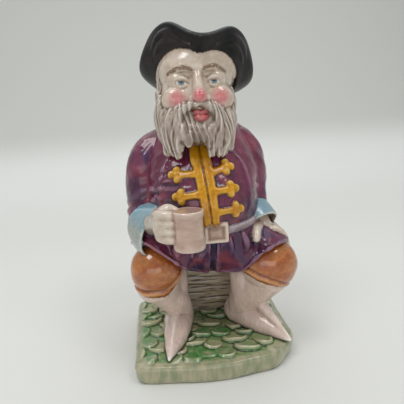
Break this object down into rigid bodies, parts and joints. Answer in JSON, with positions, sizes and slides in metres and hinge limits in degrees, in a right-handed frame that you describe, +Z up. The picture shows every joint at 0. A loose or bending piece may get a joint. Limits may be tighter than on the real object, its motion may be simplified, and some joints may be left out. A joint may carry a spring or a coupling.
{
  "type": "toby jug",
  "caption": "Glazed earthenware character jug: a seated bearded drinker whose cocked hat is the mouth, with a mug in hand, a loop handle behind and a cobbled base.",
  "frame": {"origin": "middle of the base's underside, where the jug stands", "axes": "+Z up out of the hat, -Y the way the figure faces, +X towards the figure's left hand"},
  "size_m": [0.1237, 0.1387, 0.2365],
  "materials": {
    "coat_glaze": "aubergine majolica glaze, glossy",
    "hat_glaze": "black glaze, worn grey on the lip",
    "flesh_glaze": "cream flesh glaze with painted cheeks",
    "beard_glaze": "grey-brown glaze pooled between the locks",
    "base_glaze": "green glaze pooled between pale cobbles",
    "inside_glaze": "cream glaze inside the jug"
  },
  "bodies": {
    "root": {"toby_jug": "coat_glaze"}
  },
  "joints": []
}
